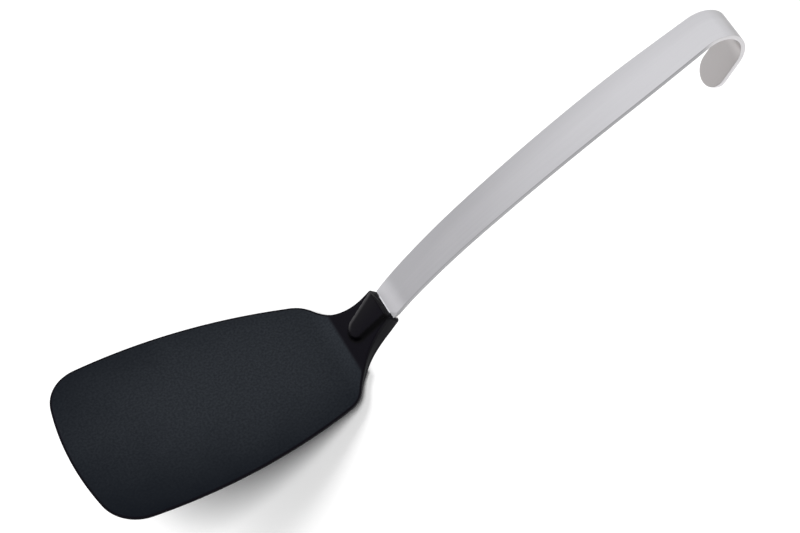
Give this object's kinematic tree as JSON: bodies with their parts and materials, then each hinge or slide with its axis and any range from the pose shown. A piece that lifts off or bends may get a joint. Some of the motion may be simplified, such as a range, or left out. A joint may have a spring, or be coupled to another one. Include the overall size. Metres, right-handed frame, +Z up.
{
  "type": "flexible spatula",
  "caption": "Flexible spatula with a thin black nylon leaf that bends and a satin steel strip handle ending in a hanging hook.",
  "frame": {"origin": "on the floor, below the middle of the spatula as it lies at rest on its heel and its hook", "axes": "+X from the leaf towards the hook, +Y across the leaf, +Z up"},
  "size_m": [0.3348, 0.0872, 0.0575],
  "materials": {
    "satin_steel": "satin, brushed along the strip",
    "black_nylon": "smooth moulded nylon",
    "matte_black_nylon": "fine matte moulded texture"
  },
  "bodies": {
    "handle": {"handle_strip": "satin_steel", "neck_socket": "black_nylon"},
    "root_of_leaf": {"leaf_root": "matte_black_nylon"},
    "middle_of_leaf": {"leaf_mid": "matte_black_nylon"},
    "front_of_leaf": {"leaf_front": "matte_black_nylon"}
  },
  "joints": [
    {"name": "flex_root", "type": "hinge", "parent": "handle", "child": "root_of_leaf", "pos_m": [-0.06621, 0, 0.00938], "axis": [0, 1, 0], "range_deg": [-12, 12], "stiffness_Nm_per_rad": 1.5},
    {"name": "flex_mid", "type": "hinge", "parent": "root_of_leaf", "child": "middle_of_leaf", "pos_m": [-0.0987, 0, 0.02485], "axis": [0, 1, 0], "range_deg": [-12, 12], "stiffness_Nm_per_rad": 0.8},
    {"name": "flex_front", "type": "hinge", "parent": "middle_of_leaf", "child": "front_of_leaf", "pos_m": [-0.13119, 0, 0.04031], "axis": [0, 1, 0], "range_deg": [-12, 12], "stiffness_Nm_per_rad": 0.5}
  ]
}
